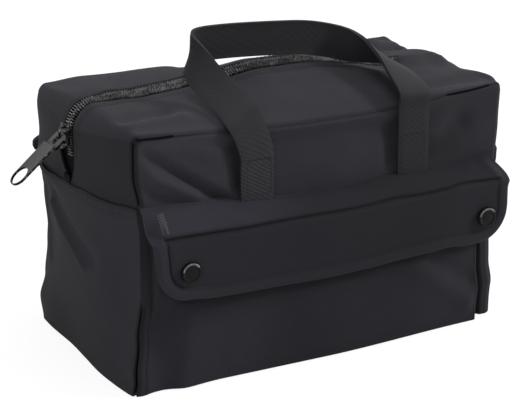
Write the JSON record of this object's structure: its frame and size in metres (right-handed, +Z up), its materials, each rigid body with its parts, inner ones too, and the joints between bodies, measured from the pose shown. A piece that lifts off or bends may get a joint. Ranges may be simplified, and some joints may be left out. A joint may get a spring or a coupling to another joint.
{
  "type": "zippered tool bag",
  "caption": "Boxy black canvas tool bag with a zip along its crowned top, a snap-flap pocket on the front and on the back, and webbing carry handles.",
  "frame": {"origin": "on the floor, under the middle of the bag", "axes": "+X along the length, away from the end where the closed zip's slider is; -Y is the front, with the handle that lies over the top; +Z up"},
  "size_m": [0.3583, 0.2227, 0.2284],
  "materials": {
    "canvas": "matte woven canvas",
    "webbing": "ribbed webbing",
    "zip_tape": "fine woven tape",
    "zip_teeth": "black with worn bright tips",
    "zip_metal": "satin black with worn edges",
    "snap_metal": "satin black"
  },
  "bodies": {
    "bag": {"back_flap_seam": "canvas", "back_handle_tails": "webbing", "back_left_gusset_end": "canvas", "back_panel": "canvas", "back_pocket": "canvas", "back_right_gusset_end": "canvas", "back_snap_posts": "snap_metal", "back_snap_studs": "snap_metal", "back_top_edge_seam": "canvas", "bottom_panel": "canvas", "front_flap_seam": "canvas", "front_handle_tails": "webbing", "front_left_gusset_end": "canvas", "front_panel": "canvas", "front_pocket": "canvas", "front_right_gusset_end": "canvas", "front_snap_posts": "snap_metal", "front_snap_studs": "snap_metal", "front_top_edge_seam": "canvas", "left_end_panel": "canvas", "left_zip_tape_ends": "zip_tape", "left_zip_teeth_ends": "zip_teeth", "right_end_panel": "canvas", "right_zip_tape_ends": "zip_tape", "right_zip_teeth_ends": "zip_teeth", "zip_stops": "zip_metal"},
    "front_top": {"front_top_strip": "canvas", "front_zip_tape": "zip_tape", "front_zip_teeth": "zip_teeth"},
    "back_top": {"back_top_strip": "canvas", "back_zip_tape": "zip_tape", "back_zip_teeth": "zip_teeth"},
    "slider": {"zip_slider": "zip_metal", "slider_bridge": "zip_metal"},
    "tab": {"pull_tab": "zip_metal"},
    "front_flap_body": {"front_flap": "canvas", "front_snap_caps": "snap_metal", "front_snap_sockets": "snap_metal"},
    "back_flap_body": {"back_flap": "canvas", "back_snap_caps": "snap_metal", "back_snap_sockets": "snap_metal"},
    "front_loop": {"front_handle": "webbing"},
    "back_loop": {"back_handle": "webbing"}
  },
  "joints": [
    {"name": "front_mouth", "type": "hinge", "parent": "bag", "child": "front_top", "pos_m": [0, -0.0744, 0.1699], "axis": [-1, 0, 0], "range_deg": [0, 60]},
    {"name": "back_mouth", "type": "hinge", "parent": "bag", "child": "back_top", "pos_m": [0, 0.0744, 0.1796], "axis": [-1, 0, 0], "range_deg": [0, 85]},
    {"name": "zip_run", "type": "hinge", "parent": "bag", "child": "slider", "pos_m": [-0.1345, 0, 0.164], "axis": [0, 1, 0], "range_deg": [0, 78]},
    {"name": "tab_swing", "type": "hinge", "parent": "slider", "child": "tab", "pos_m": [-0.162, 0, 0.164], "axis": [0, 1, 0], "range_deg": [-45, 120]},
    {"name": "front_flap_lift", "type": "hinge", "parent": "bag", "child": "front_flap_body", "pos_m": [0, -0.081, 0.131], "axis": [-1, 0, 0], "range_deg": [0, 80]},
    {"name": "back_flap_lift", "type": "hinge", "parent": "bag", "child": "back_flap_body", "pos_m": [0, 0.081, 0.131], "axis": [1, 0, 0], "range_deg": [0, 80]},
    {"name": "front_handle_swing", "type": "hinge", "parent": "bag", "child": "front_loop", "pos_m": [0, -0.0814, 0.1604], "axis": [1, 0, 0], "range_deg": [0, 130]},
    {"name": "back_handle_swing", "type": "hinge", "parent": "bag", "child": "back_loop", "pos_m": [0, 0.0809, 0.1615], "axis": [1, 0, 0], "range_deg": [0, 100]}
  ],
  "couplings": [
    {"joint": "back_handle_swing", "follows": "back_flap_lift", "ratio": 1.25}
  ]
}
